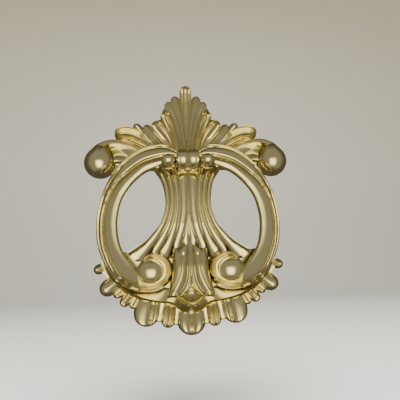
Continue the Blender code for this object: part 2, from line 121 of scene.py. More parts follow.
# Relief leaves of the plate's right half: profile, spine (x, z) from root to tip, half
# widths and crest heights along it. All but the middle ones are mirrored to the left.
FAN_LEAVES = {
    "crown": ("gutter", ((0, 31), (0, 52), (0, 65), (0, 76.5)), (1.7, 3.0, 3.6, 3.7), (8.2, 7.4, 8.2, 9.8)),
    "plume_1": ("rib", ((1.5, 31), (3.2, 50), (5.2, 61), (7.4, 70.4)),
                (1.7, 2.7, 3.4, 3.0), (8.2, 7.2, 7.4, 7.8)),
    "plume_2": ("rib", ((2.6, 31), (5.6, 49), (8.4, 58), (11.8, 66.4)),
                (1.6, 2.8, 3.5, 3.0), (7.6, 6.9, 7.3, 8.0)),
    "plume_3": ("rib", ((3.5, 31), (7, 46), (10.6, 55.5), (13.8, 62.2)),
                (1.1, 2.0, 2.4, 2.2), (5.4, 6.1, 6.8, 7.0)),
    "hoop_1": ("hoop", ((4.5, 31), (8, 43.5), (11.2, 52), (14.2, 59.6)),
               (1.5, 2.6, 3.3, 3.3), (5.4, 6.6, 8.0, 9.0)),
    "plume_4": ("rib", ((6, 31), (9.5, 41.5), (13.5, 48.5), (17.8, 54.4)),
                (1.1, 1.8, 2.2, 2.0), (5, 5.9, 6.8, 7.2)),
    "hoop_2": ("hoop", ((8, 31), (12, 41), (16.3, 47), (21.0, 52.4)),
               (1.9, 3.4, 4.2, 4.0), (5.2, 6.4, 8.2, 9.2)),
    "plume_5": ("rib", ((11, 31), (17, 39.5), (21.8, 45), (26.6, 50.8)),
                (1.6, 2.8, 3.3, 3.0), (5, 5.9, 7.0, 7.4)),
    "stub": ("round", ((22, 40), (28, 47), (33.2, 52.8)), (2.5, 3.0, 3.0), (4, 5.0, 6.6)),
    "long_leaf": ("cupped", ((15, 31), (24.5, 40.4), (32.5, 44.6), (39, 45.3), (44.6, 43.4)),
                  (2, 3.6, 4.1, 4.2, 3.6), (5, 6.2, 8.6, 10.2, 10.2)),
    "under_leaf": ("ribs", ((18, 31), (28, 37.8), (36, 40.9), (44, 40.9)),
                   (1.6, 2.0, 2.0, 1.4), (5, 5.6, 7.0, 7.0)),
    "hood": ("hood", ((25, 31), (34, 37), (42, 39.3), (48, 38.9), (53.0, 36.6), (56.2, 33.2)),
             (1.3, 1.6, 1.7, 1.9, 2.2, 2.0), (5, 6.0, 8.4, 9.8, 10.2, 9.4)),
    "scoop": ("scoop", ((27, 27), (36.5, 31), (45, 31.6), (51, 29.4)),
              (3.4, 5.2, 5.8, 5.2), (5, 6.2, 7.8, 6.6)),
}
FRINGE_LEAVES = {
    "bead": ("round", ((51.4, -36.6), (54, -37.8), (56.6, -38.4)), (2.9, 3.0, 3.0), (7.4, 8.2, 8.8)),
    "lobe": ("round", ((38, -39), (44, -45.5), (52, -51.5)), (3.4, 4.8, 4.8), (5.5, 8.5, 10.5)),
    "tab": ("tab", ((30, -45), (35, -53), (40.3, -58.8)), (2.6, 3.4, 2.9), (5, 7, 8.2)),
    "big_petal": ("petal", ((21.0, -49), (24.6, -58), (26.8, -70.8)), (5.2, 7.4, 7.6), (5.2, 8.8, 10.8)),
    "small_petal": ("ribs", ((10.5, -51), (12.6, -62), (13.9, -71.9)), (3.2, 4.0, 4.1), (5.2, 8.2, 9.6)),
    "middle_petal": ("split", ((0, -52), (0, -66), (0, -76.5)), (6.4, 8.2, 8.6), (5.6, 9.4, 11.2)),
    "filler_1": ("flat", ((6, -53), (8.3, -62), (9.2, -70.8)), (2.4, 3.0, 3.0), (6, 6.2, 6.4)),
    "filler_2": ("flat", ((14.6, -51), (17.4, -60), (18.8, -68.8)), (2.2, 2.8, 2.6), (6, 6.2, 6.4)),
    "filler_3": ("ribs", ((26, -46), (31, -54), (34.6, -60.6)), (2.4, 3.2, 2.6), (5.6, 6.8, 7.2)),
    "filler_4": ("ribs", ((33, -42), (39, -49), (44.5, -54)), (2.2, 3.0, 2.4), (5.4, 6.4, 6.6)),
    "collar": ("ledge", ((48.6, -31.0), (44.8, -38.8), (37.4, -46.6), (28.4, -51.4), (20, -53.4),
                         (13.6, -54.2), (9.6, -55.4), (6.2, -57.8), (3.2, -60.0), (-1, -60.7)),
               (3.2, 4.0, 4.4, 4.6, 4.6, 4.6, 4.4, 4.2, 4.2, 4.2),
               (7, 8.6, 9.6, 10.2, 10.4, 10.4, 10.4, 10.5, 10.6, 10.6)),
}

# Right edge of the plate's flat ground, top to bottom: under the fan, beside the waist and
# under the fringe.
HEAD_EDGE = ((0, 71), (5, 66), (10.5, 60), (15.5, 53), (21, 47), (28, 46), (36, 42.5), (45, 37.5), (51, 32),
             (50, 24), (45, 18.5), (37, 20), (28, 22.3))
WAIST_EDGE = ((21, 22.5), (16.4, 15), (14.3, 6), (14.1, -2), (16.5, -10), (20, -15.3), (27, -22.3),
              (37, -28.4))
FOOT_EDGE = ((46, -27.2), (51.6, -31), (53.0, -38), (46, -46.5), (37.5, -54.5), (27, -61.5), (13, -66),
             (0, -70))
# Bottom edge of the waist's skirt, (x, z) from the middle arch outwards.
SKIRT_EDGE = ((0, -26.4), (4, -28.6), (6.7, -30.8), (9.5, -30.2), (12.8, -32.4), (16.5, -32.0), (22, -33.0),
              (28, -35.6), (33, -37.5), (38, -40))
# Where the waist's outer ridges lie, as shares of its half width.
WAIST_RIDGES = (0.36, 0.56, 0.755, 0.955)

# Ring's right arm, from the pivot over the shoulder, down the side and round the volute:
# outer and inner edge (x, z); share of the width at the outer ridge and at the rim ridge;
# heights at the outer ridge, the band's crest, the rim ridge and the inner edge.
ARM = (
    ((6.8, 31.0), (6.8, 23.5), 0.10, 0.80, (18.5, 21.4, 21.0, 19.6)),
    ((12, 34.2), (12.5, 22.6), 0.13, 0.76, (19.0, 21.8, 21.2, 19.4)),
    ((19, 35.3), (19.5, 19.8), 0.16, 0.72, (19.2, 22.0, 21.2, 19.2)),
    ((28, 33.2), (26.5, 16.5), 0.17, 0.71, (19.2, 22.0, 21.2, 19.0)),
    ((37, 27.6), (33, 10.5), 0.18, 0.68, (18.8, 21.8, 21.2, 18.9)),
    ((45, 17.6), (38.2, 3), 0.15, 0.58, (18.0, 21.2, 21.3, 18.8)),
    ((50.8, 5), (40.6, -5), 0.10, 0.48, (16.6, 20.3, 21.4, 18.7)),
    ((53.6, -9), (41.4, -13), 0.06, 0.44, (14.8, 19.2, 21.5, 18.6)),
    ((53.2, -22), (40.2, -22.5), 0.05, 0.42, (14.0, 18.8, 21.5, 18.3)),
    ((49.8, -33), (37.5, -29.5), 0.05, 0.39, (13.8, 18.6, 21.5, 18.0)),
    ((43.5, -43), (33.6, -34.8), 0.05, 0.33, (13.8, 18.6, 21.4, 17.6)),
    ((35, -49.2), (30.5, -38.5), 0.05, 0.29, (13.8, 18.6, 21.3, 17.4)),
    ((26, -51.2), (27, -44.5), 0.06, 0.30, (14.0, 18.8, 21.2, 17.6)),
    ((19, -50.6), (20.5, -46), 0.06, 0.34, (14.0, 18.8, 21.3, 17.8)),
    ((13, -47.2), (15.8, -44), 0.06, 0.36, (14.0, 19.0, 21.5, 18.0)),
    ((10.2, -41.5), (14.2, -40.5), 0.06, 0.36, (14.0, 19.2, 21.8, 18.4)),
    ((10.4, -36.2), (14.4, -36.6), 0.06, 0.38, (14.0, 19.4, 22.0, 18.8)),
    ((14, -31.2), (16.6, -34), 0.06, 0.40, (14.0, 19.4, 22.0, 19.2)),
    ((20, -29), (20.8, -32.6), 0.06, 0.42, (14.0, 19.2, 21.6, 19.2)),
    ((25.6, -31.2), (24.2, -34.0), 0.06, 0.45, (14.0, 18.8, 21.0, 18.8)),
    ((28.0, -35.4), (25.8, -36.4), 0.06, 0.50, (13.6, 17.8, 19.6, 17.6)),
)
ARM_STEPS = 260
VOLUTE = (20.6, -39.6)
EYE = (22.6, -39.5)

# Palmette between the volutes, by z from its arch to its flared end: half width, height on
# the middle line, and x of the hollow's edge, of the inner ridge and of the outer ridge.
PALMETTE_Z = (-26.4, -29.5, -33, -37, -41, -44, -47, -50, -52, -53.4)
PALMETTE = (
    (9.8, 17.6, 0.1, 0.9, 5.2), (10.0, 18.8, 0.1, 1.0, 5.6), (10.3, 19.6, 0.1, 1.1, 5.9),
    (10.5, 20.2, 0.1, 1.3, 6.2), (10.9, 20.5, 0.1, 1.5, 6.8), (11.3, 20.7, 0.3, 1.9, 7.7),
    (12.0, 20.9, 0.8, 2.9, 9.0), (12.7, 21.1, 2.0, 4.4, 10.5), (13.1, 21.3, 4.0, 5.8, 11.4),
    (13.2, 21.4, 5.4, 6.6, 11.8),
)
# Middle (x, z) and half sizes of the bowl, and the height where its upper half is cut off.
BOWL = (0.0, -48.7, 9.2, 10.6)
BOWL_TOP = -51.6


def place(x, z, h):
    """A point drawn in millimetres, h above the door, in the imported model's frame."""
    return Vector((x, -h, z)) * UNIT


# ---------------------------------------------------------------- shaping helpers

def spline(points, t):
    """Catmull-Rom value at t from 0 to 1 through a row of tuples."""
    spans = len(points) - 1
    span = min(int(t * spans), spans - 1)
    f = t * spans - span
    p1, p2 = points[span], points[span + 1]
    p0 = points[span - 1] if span else tuple(2 * a - b for a, b in zip(p1, p2))
    p3 = points[span + 2] if span + 2 <= spans else tuple(2 * b - a for a, b in zip(p1, p2))
    return tuple(
        0.5 * (2 * b + (c - a) * f + (2 * a - 5 * b + 4 * c - d) * f * f
               + (3 * b - a - 3 * c + d) * f ** 3)
        for a, b, c, d in zip(p0, p1, p2, p3))


def bump(value, centre, width):
    """A soft hump of height 1."""
    return math.exp(-((value - centre) / width) ** 2)


def dome(rho):
    """Height of a half circle at a distance from its middle."""
    return math.sqrt(max(0.0, 1.0 - rho * rho))


def loft(rows):
    """A closed body through rows of points, each row a closed loop of the same count."""
    around = len(rows[0])
    along = len(rows) - 1
    bm = bmesh.new()
    bmesh.ops.create_grid(bm, x_segments=around, y_segments=along, size=1.0)
    for vert in bm.verts:
        i = round((vert.co.x + 1) / 2 * around) % around
        j = round((vert.co.y + 1) / 2 * along)
        vert.co = rows[j][i]
    bmesh.ops.remove_doubles(bm, verts=bm.verts[:], dist=MERGE)
    rims = [edge for edge in bm.edges if edge.is_boundary]
    bmesh.ops.holes_fill(bm, edges=rims, sides=0)
    bmesh.ops.recalc_face_normals(bm, faces=bm.faces[:])
    return bm


def cylinder(radius, start, end, segments=64):
    """A bmesh cylinder between two points; its radius is in drawn millimetres."""
    axis = end - start
    bm = bmesh.new()
    bmesh.ops.create_cone(bm, cap_ends=True, segments=segments, radius1=radius * UNIT,
                          radius2=radius * UNIT, depth=axis.length)
    bmesh.ops.rotate(bm, verts=bm.verts[:], cent=(0, 0, 0), matrix=axis.to_track_quat("Z", "Y").to_matrix())
    bmesh.ops.translate(bm, verts=bm.verts[:], vec=(start + end) / 2)
    return bm


def ellipsoid(x, z, h, radii, segments=72, rings=40):
    """A bmesh ball with radii along x, z and h; its poles are on the h axis."""
    bm = bmesh.new()
    bmesh.ops.create_uvsphere(bm, u_segments=segments, v_segments=rings, radius=UNIT)
    bmesh.ops.rotate(bm, verts=bm.verts[:], cent=(0, 0, 0), matrix=Matrix.Rotation(math.pi / 2, 3, "X"))
    bmesh.ops.scale(bm, verts=bm.verts[:], vec=(radii[0], radii[2], radii[1]))
    bmesh.ops.translate(bm, verts=bm.verts[:], vec=place(x, z, h))
    return bm


def slab(outline, bottom, top):
    """A flat plate with a mirrored outline, between two heights."""
    points = [(x, z) for x, z in outline] + [(-x, z) for x, z in reversed(outline) if x > 0]
    bm = bmesh.new()
    face = bm.faces.new([bm.verts.new(place(x, z, bottom)) for x, z in points])
    walls = bmesh.ops.extrude_face_region(bm, geom=[face])
    raised = [item for item in walls["geom"] if isinstance(item, bmesh.types.BMVert)]
    bmesh.ops.translate(bm, verts=raised, vec=place(0, 0, top - bottom))
    bmesh.ops.recalc_face_normals(bm, faces=bm.faces[:])
    return bm


def turned(profile, x, z, segments=96):
    """A closed solid turned about the door's normal through (x, z), from (radius, h) points.

    A profile that starts off the axis is joined back to its start, which leaves a bore.
    """
    bm = bmesh.new()
    verts = [bm.verts.new(place(x + radius, z, h)) for radius, h in profile]
    ahead = verts[1:] + verts[:1] if profile[0][0] > 0 else verts[1:]
    edges = [bm.edges.new(pair) for pair in zip(verts, ahead)]
    bmesh.ops.spin(bm, geom=verts + edges, cent=place(x, z, 0), axis=(0, 1, 0), angle=2 * math.pi,
                   steps=segments, use_merge=True)
    bmesh.ops.remove_doubles(bm, verts=bm.verts[:], dist=MERGE)
    bmesh.ops.recalc_face_normals(bm, faces=bm.faces[:])
    return bm


def to_mesh(bm, name):
    """A mesh from a bmesh, which is freed; a body for fusing has to be closed."""
    mesh = bpy.data.meshes.new(name)
    bm.to_mesh(mesh)
    bm.free()
    return mesh


def fused(bodies, cuts, name):
    """One closed mesh: the bodies joined, then the cuts taken away."""
    scene = bpy.context.scene
    for number, body in enumerate([*bodies, *cuts]):
        open_edges = [edge for edge in body.edges if not edge.is_manifold]
        if open_edges or body.calc_volume(signed=True) <= 0:
            raise RuntimeError(f"{name}: body {number} has {len(open_edges)} open edges or is inside out")
    operands = []
    work = bpy.data.objects.new(name, to_mesh(bodies[0], name))
    scene.collection.objects.link(work)
    for operation, shapes in (("UNION", bodies[1:]), ("DIFFERENCE", cuts)):
        tools = bpy.data.collections.new(f"{name}_{operation}")
        scene.collection.children.link(tools)
        for shape in shapes:
            tools.objects.link(bpy.data.objects.new("tool", to_mesh(shape, "tool")))
        if shapes:
            mod = work.modifiers.new(operation, "BOOLEAN")
            mod.operation = operation
            mod.operand_type = "COLLECTION"
            mod.collection = tools
            mod.solver = "MANIFOLD"
        operands.append(tools)
    mesh = bpy.data.meshes.new_from_object(work.evaluated_get(bpy.context.evaluated_depsgraph_get()))
    bpy.data.objects.remove(work)
    for tools in operands:
        for tool in list(tools.objects):
            bpy.data.objects.remove(tool)
        bpy.data.collections.remove(tools)
    if not mesh.polygons:
        raise RuntimeError(f"{name} came out empty")
    drop_slivers(mesh)
    return mesh


def drop_slivers(mesh):
    """Takes out what a Boolean leaves behind: shells of under four faces and doubled points."""
    bm = bmesh.new()
    bm.from_mesh(mesh)
    seen = set()
    slivers = []
    for start in bm.faces:
        if start in seen:
            continue
        seen.add(start)
        shell = [start]
        for face in shell:
            for edge in face.edges:
                fresh = [other for other in edge.link_faces if other not in seen]
                seen.update(fresh)
                shell += fresh
        if len(shell) < 4:
            slivers += shell
    bmesh.ops.delete(bm, geom=slivers, context="FACES")
    bmesh.ops.remove_doubles(bm, verts=bm.verts[:], dist=SLIVER)
    bmesh.ops.dissolve_degenerate(bm, edges=bm.edges[:], dist=SLIVER)
    bm.to_mesh(mesh)
    bm.free()


def add_piece(mesh, name, body, finishes, replaced, sharp=math.radians(38)):
    """The finished object: shaded, painted, riding on its body and standing for its CAD nodes."""
    mesh.name = name
    mesh.materials.clear()
    for finish in finishes:
        mesh.materials.append(finish)
    mesh.shade_smooth()
    mesh.set_sharp_from_angle(angle=sharp)
    piece = bpy.data.objects.new(name, mesh)
    bpy.context.scene.collection.objects.link(piece)
    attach(piece, body)
    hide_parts(*replaced)
    return piece


# ---------------------------------------------------------------- relief leaves

def rib(rho, u):
    """A leaf with one soft midrib."""
    return dome(rho ** 2) * (0.45 + 0.55 * bump(u, 0.0, 0.42))


def gutter(rho, u):
    """A shallow channel between two thin edges that meet round its tip."""
    return dome(rho ** 6) * (0.30 + 0.70 * min(1.0, rho / 0.8) ** 2.5)


def ribs(rho, u):
    """A leaf with three ribs."""
    lines = max(bump(u, centre, 0.20) for centre in (-0.62, 0.0, 0.62))
    return dome(rho ** 2) * (0.50 + 0.50 * lines)


def tab(rho, u):
    """A leaf with two ribs."""
    return dome(rho ** 3) * (0.45 + 0.55 * max(bump(u, -0.5, 0.28), bump(u, 0.5, 0.28)))


def round_leaf(rho, u):
    """A plain rounded leaf."""
    return dome(rho)


def flat(rho, u):
    """A low, nearly flat leaf."""
    return dome(rho ** 4) * (0.85 + 0.15 * bump(u, 0.0, 0.3))


def hoop(rho, u):
    """A leaf with a rim that runs round its tip and a band down the inner side of its hollow."""
    rim = 0.90 * bump(rho, 0.84, 0.10)
    return dome(rho ** 7) * (0.08 + max(rim, 0.62 * bump(u, -0.26, 0.30)))


def cupped(rho, u):
    """A curling leaf: a rim round its tip over a hollow, and a broad band along its lower side."""
    rim = 0.95 * bump(rho, 0.82, 0.11)
    return dome(rho ** 6) * (0.05 + max(rim, 0.60 * bump(u, 0.24, 0.34)))


def hood(rho, u):
    """A band with a crisp lower edge and a rounded upper one."""
    return dome(rho ** 1.5) if u < 0 else dome(rho ** 6)


def scoop(rho, u):
    """A hollow that deepens towards its upper side."""
    return dome(rho ** 4) * (0.55 + 0.45 * math.sin(u * math.pi / 2))


def petal(rho, u):
    """A broad petal: a wide lobe on its outer side, a groove and a narrow inner lobe."""
    lobes = max(dome((u + 0.34) / 0.72) ** 0.8, 0.8 * dome((u - 0.70) / 0.34))
    return dome(rho ** 5) * (0.25 + 0.75 * lobes)


def split(rho, u):
    """Two fat lobes with a groove between them and a thin rib in the groove."""
    lobes = dome((abs(u) - 0.52) / 0.50) ** 0.8
    return dome(rho ** 4) * (0.25 + 0.75 * max(lobes, 0.6 * bump(u, 0.0, 0.05)))


def ledge(rho, u):
    """A cove that rises to a thin bead along its outer edge."""
    return dome(rho ** 6) * (0.20 + 0.56 * ((1 - u) / 2) ** 1.3 + 0.28 * bump(u, -0.84, 0.09))


# Each profile with how far its edges lie under its crest.
PROFILES = {"rib": (rib, 2.2), "gutter": (gutter, 3.0), "ribs": (ribs, 2.6), "tab": (tab, 3.0),
            "round": (round_leaf, 6.0), "flat": (flat, 1.6), "hoop": (hoop, 3.4), "cupped": (cupped, 4.4),
            "hood": (hood, 4.6), "scoop": (scoop, 4.0), "petal": (petal, 5.2), "split": (split, 5.2),
            "ledge": (ledge, 4.2)}


class Spine:
    """A leaf's middle line, measured by distance from its root."""

    def __init__(self, points, widths, crests, samples=120):
        self.points = points
        self.widths = [(width,) for width in widths]
        self.crests = [(crest,) for crest in crests]
        path = [Vector(spline(points, k / samples)) for k in range(samples + 1)]
        self.reach = [0.0]
        for a, b in zip(path, path[1:]):
            self.reach.append(self.reach[-1] + (b - a).length)
        self.length = self.reach[-1]

    def t_at(self, distance):
        """Spline parameter at a distance along the line."""
        low, high = 0, len(self.reach) - 1
        while high - low > 1:
            middle = (low + high) // 2
            low, high = (middle, high) if self.reach[middle] <= distance else (low, middle)
        span = self.reach[high] - self.reach[low]
        return (low + (distance - self.reach[low]) / span) / (len(self.reach) - 1)

    def at(self, distance):
        """Point, direction to the right, half width and crest height at a distance."""
        t = self.t_at(min(distance, self.length))
        ahead = Vector(spline(self.points, min(t + 0.01, 1)))
        behind = Vector(spline(self.points, max(t - 0.01, 0)))
        along = (ahead - behind).normalized()
        point = Vector(spline(self.points, t))
        return point, Vector((along.y, -along.x)), spline(self.widths, t)[0], spline(self.crests, t)[0]


def leaf(profile, points, widths, crests, side, pitch=0.42):
    """One relief leaf with a round tip, as a closed body reaching below the door plane."""
    shape, drop = PROFILES[profile]
    line = Spine(points, widths, crests)
    tip = widths[-1]
    body = line.length - tip
    across = max(12, 2 * round(max(widths) / pitch))
    body_rows = max(6, round(body / 1.2))
    tip_rows = max(8, round(tip * 1.57 / 0.4))
    stations = [(body * k / body_rows, 0.0) for k in range(body_rows)]
    stations += [(body + tip * math.sin(a), a) for a in
                 (math.radians(88) * k / tip_rows for k in range(tip_rows + 1))]
    rows = []
    for distance, angle in stations:
        point, right, half, crest = line.at(distance)
        if angle:
            half = tip * math.cos(angle)
        row = []
        for k in range(across + 1):
            u = math.sin(math.pi / 2 * (2 * k / across - 1) * 0.98) / math.sin(math.pi / 2 * 0.98)
            rho = math.hypot(u * math.cos(angle), math.sin(angle))
            spot = point + right * (u * half)
            height = crest - drop * (1 - shape(min(rho, 1), u * math.cos(angle)))
            row.append(place(side * spot.x, spot.y, height))
        for u in (1.0, -1.0):
            spot = point + right * (u * half)
            row.append(place(side * spot.x, spot.y, BELOW))
        rows.append(row)
    return loft(rows)


def relief_leaves():
    """Every leaf of the fan and the fringe."""
    made = []
    for table in (FAN_LEAVES, FRINGE_LEAVES):
        for profile, points, widths, crests in table.values():
            on_middle = points[0][0] == 0 and points[-1][0] == 0
            for side in (1,) if on_middle else (1, -1):
                made.append(leaf(profile, points, widths, crests, side))
    return made


# ---------------------------------------------------------------- plate

def plate_outline():
    """The slab's right edge from top to bottom, with the waist's curve between its ends."""
    steps = 36
    waist = [spline(WAIST_EDGE, k / steps) for k in range(steps + 1)]
    return list(HEAD_EDGE) + waist + list(FOOT_EDGE)


def inset_outline(outline, rim):
    """The same half outline drawn in by the rim width, for the hollow behind it."""
    loop = [Vector(point) for point in outline]
    full = loop + [Vector((-p.x, p.y)) for p in reversed(loop) if p.x > 0]
    count = len(full)
    area = sum(full[k].cross(full[(k + 1) % count]) for k in range(count))
    turn = 1 if area > 0 else -1
    drawn = []
    for k in range(len(loop)):
        back, here, ahead = full[k - 1], full[k], full[(k + 1) % count]
        first = (here - back).normalized()
        second = (ahead - here).normalized()
        normal = turn * Vector((-(first + second).y, (first + second).x)).normalized()
        reach = rim / max(normal.dot(turn * Vector((-first.y, first.x))), 0.5)
        point = here + normal * reach
        drawn.append((0.0 if abs(here.x) < 0.01 else point.x, point.y))
    return drawn


def skirt_z(x):
    """Bottom edge of the waist at a distance from the middle."""
    x = min(abs(x), SKIRT_EDGE[-1][0])
    for (x0, z0), (x1, z1) in zip(SKIRT_EDGE, SKIRT_EDGE[1:]):
        if x <= x1:
            f = (x - x0) / (x1 - x0)
            f = f * f * (3 - 2 * f)
            return z0 + (z1 - z0) * f
    return SKIRT_EDGE[-1][1]


def ribbed_row(marks, heights, sag, columns):
    """Points (x, h) across a fluted half: ridges at the marks, hollows sagging between them."""
    points = [(marks[0], heights[0])]
    for (x0, x1), (h0, h1) in zip(zip(marks, marks[1:]), zip(heights, heights[1:])):
        for k in range(1, columns + 1):
            s = k / columns
            hollow = (1 - (2 * s - 1) ** 2) ** 0.8
            depth = min(sag, 0.32 * (x1 - x0))
            points.append((x0 + (x1 - x0) * s, h0 + (h1 - h0) * s - depth * hollow))
    return points


def waist(depth):
    """The fluted waist, from behind the pivot down to its scalloped skirt."""
    columns, along = 12, 110
    rows = []
    for j in range(along + 1):
        v = j / along
        half, z_line = spline(WAIST_EDGE, v)
        # The middle pair of ridges parts below z -7.
        opening = min(1.0, max(0.0, (-7.0 - z_line) / 15.0))
        marks = [0.0, 0.22 + 0.175 * half * opening] + [share * half for share in WAIST_RIDGES] + [half]
        flare = min(1.0, 15.0 / half + 0.15)
        crests = [5.2 + 3.6 * flare * math.sqrt(1 - 0.9 * (x / half) ** 2) for x in marks]
        crests[-1] -= 1.2
        # The lowest rows settle on to the skirt's scalloped edge.
        settle = max(0.0, (v - 0.55) / 0.45) ** 2
        side = ribbed_row(marks, crests, depth, columns)
        row = []
        for x, h in [(-x, h) for x, h in reversed(side[1:])] + side:
            z = z_line + (skirt_z(x) - WAIST_EDGE[-1][1]) * settle * (1 - abs(x / half) ** 6)
            row.append(place(x, z, h))
        row += [place(row[k].x / UNIT, row[k].z / UNIT, BELOW) for k in (-1, 0)]
        rows.append(row)
    return loft(rows)


def hoop_row(x, z, h, half_z, half_h, count):
    """Points round an ellipse that stands across the pin."""
    turns = (2 * math.pi * n / count for n in range(count))
    return [place(x, z + half_z * math.sin(a), h + half_h * math.cos(a)) for a in turns]


def knuckle():
    """The plate's knuckle: two gadroons between thin collars, turned about the pin."""
    half, steps, around = 6.0, 60, 72
    rows = []
    for j in range(steps + 1):
        s = 2 * j / steps - 1
        swell = dome(min(1, abs(abs(s) - 0.50) / 0.42))
        radius = 5.9 + 0.85 * swell + 0.55 * bump(s, 0.0, 0.07) + 0.5 * bump(abs(s), 0.95, 0.06)
        rows.append(hoop_row(half * s, PIVOT_Z, PIVOT_H, radius, radius, around))
    return loft(rows)


def ball(side):
    """A side ball, drawn out like a drop towards the hood that curls over it."""
    x, z, h = BALL
    steps, around = 44, 96
    rows = []
    for j in range(steps + 1):
        rise = math.radians(-28 + 117.5 * j / steps)
        row = []
        for n in range(around):
            heading = 2 * math.pi * n / around
            radius = BALL_R + 3.5 * bump(heading, math.radians(99), math.radians(27))
            reach = radius * math.cos(rise)
            row.append(place(side * (x + reach * math.cos(heading)), z + reach * math.sin(heading),
                             h + BALL_R * 0.97 * math.sin(rise)))
        rows.append(row)
    return loft(rows)


def plate_cuts(rim):
    """What is taken out of the plate: the door plane, the hollow back and the holes."""
    box = slab(((0, -90), (80, -90), (80, 90), (0, 90)), -9.0, 0.0)
    kept = [cylinder(5.5, place(0, z, -3), place(0, z, 7)) for z in (SCREW_Z, -SCREW_Z, STUD_Z)]
    kept.append(slab(((0, -5), (20, -5), (20, 5), (0, 5)), -3.0, 7.0))
    hollow = slab(inset_outline(plate_outline(), rim), -1.0, 2.8)
    pocket = bmesh.new()
    pocket.from_mesh(fused([hollow], kept, "pocket"))
    holes = [cylinder(SCREW_BORE, place(0, z, -3), place(0, z, 5.9)) for z in (SCREW_Z, -SCREW_Z)]
    holes.append(cylinder(STUD_BORE, place(0, STUD_Z, -3), place(0, STUD_Z, 12)))
    holes.append(cylinder(PIN_BORE, place(-12, PIVOT_Z, PIVOT_H), place(12, PIVOT_Z, PIVOT_H)))
    return [box, pocket] + holes


def plate_mesh(settings):
    """The whole cast plate as one mesh, with its hollow back on the second material."""
    bodies = [slab(plate_outline(), -1.0, SLAB), waist(settings.flute_depth)]
    bodies += relief_leaves()
    bodies += [ball(side) for side in (1, -1)]
    bodies.append(ellipsoid(0, -SCREW_Z, 1.0, (6.5, 4.3, 7.0)))
    bodies.append(knuckle())
    bodies.append(slab(((0, PIVOT_Z - 3.6), (5.0, PIVOT_Z - 3.6), (5.0, PIVOT_Z + 4.6), (0, PIVOT_Z + 4.6)),
                       1.0, PIVOT_H))
    return fused(bodies, plate_cuts(settings.rim_width), "plate_casting")


# ---------------------------------------------------------------- ring

def arm_row(width, first, rim, heights):
    """Points (share of the width, h) across the ring's face from its outer to its inner edge."""
    h_first, h_crest, h_rim, h_inner = heights
    low = RING_BACK + 1.0
    bulge = 0.65 * (h_crest - (h_first + h_rim) / 2)
    points = []
    for k in range(10):
        s = k / 10
        points.append((first * s, low + (h_first - low) * math.sin(s * math.pi / 2)))
    for k in range(22):
        s = k / 22
        height = h_first + (h_rim - h_first) * s + bulge * 4 * s * (1 - s)
        points.append((first + (rim - first) * s, height))
    for k in range(23):
        s = k / 22
        points.append((rim + (1 - rim) * s, h_rim + (h_inner - h_rim) * s - 0.7 * math.sin(math.pi * s)))
    shaped = []
    for u, h in points:
        # A thin ridge with a groove on its inner side, a stout one with a groove outside it,
        # and a soft inner edge.
        from_first, from_rim, from_inner = (u - first) * width, (u - rim) * width, (u - 1) * width
        h += 0.50 * bump(from_first, 0.0, 0.42) - 1.05 * bump(from_first, 1.0, 0.44)
        h += 0.55 * bump(from_rim, 0.0, 0.60) - 1.15 * bump(from_rim, -1.25, 0.50)
        h -= 0.9 * bump(from_inner, 0.0, 0.35)
        shaped.append((u, h))
    return shaped


def arm(side):
    """Closed sections of one arm of the ring, from the pivot to the end of its volute."""
    rows = []
    outers = [station[0] for station in ARM]
    inners = [station[1] for station in ARM]
    facts = [(station[2], station[3], *station[4]) for station in ARM]
    for j in range(ARM_STEPS + 1):
        t = j / ARM_STEPS
        outer, inner = Vector(spline(outers, t)), Vector(spline(inners, t))
        first, rim, *heights = spline(facts, t)
        face = arm_row((inner - outer).length, first, rim, heights)
        back = [(1.0, 15.0), (0.97, 13.0), (0.88, RING_BACK), (0.12, RING_BACK), (0.02, 12.4)]
        row = []
        for u, height in face + back:
            spot = outer.lerp(inner, u)
            row.append(place(side * spot.x, spot.y, height))
        rows.append(row)
    return loft(rows)


def palmette():
    """The fluted fan between the volutes, open in the middle over the bowl at its foot."""
    along, columns = 80, 12
    stations = [(z, *facts) for z, facts in zip(PALMETTE_Z, PALMETTE)]
    rows = []
    for j in range(along + 1):
        z, half, front, hollow, inner, outer = spline(stations, j / along)
        # Flutes deepen below the arch; the hollow over the bowl opens below z -42.5.
        fade = min(1.0, max(0.0, (-26.0 - z) / 5.0))
        sink = 5.5 * min(1.0, max(0.0, (-42.5 - z) / 7.5))
        lift = max(0.0, 1 - j / (0.35 * along)) ** 1.5
        side = []
        for k in range(columns):
            s = k / columns
            side.append((hollow * s, front - sink * (1 - s ** 3)))
        side.append((hollow, front + 0.1))
        for k in range(1, columns + 1):
            s = k / columns
            swell = 0.3 * math.sin(s * math.pi) * fade
            side.append((hollow + (inner - hollow) * s, front + swell + 0.15 * s))
        for k in range(1, 2 * columns + 1):
            s = k / (2 * columns)
            flute = (1 - (2 * s - 1) ** 2) ** 0.8
            side.append((inner + (outer - inner) * s, front - 1.5 * s - 1.7 * flute * fade))
        for k in range(1, columns + 1):
            s = k / columns
            side.append((outer + (half - outer) * s, front - 1.5 - 4.0 * (1 - dome(s))))
        section = [(-x, h) for x, h in reversed(side[1:])] + side
        section += [(half, 13.0), (0.9 * half, RING_BACK), (-0.9 * half, RING_BACK), (-half, 13.0)]
        rows.append([place(x, z + crest_line(x) * lift, h) for x, h in section])
    return loft(rows)


def crest_line(x):
    """How far the palmette's top edge lies above or below its arch, out from the middle."""
    x = abs(x)
    fall = min(1.0, x / 6.6)
    return 1.6 - 3.6 * fall * fall * (3 - 2 * fall) + 0.9 * bump(x, 9.4, 1.8)


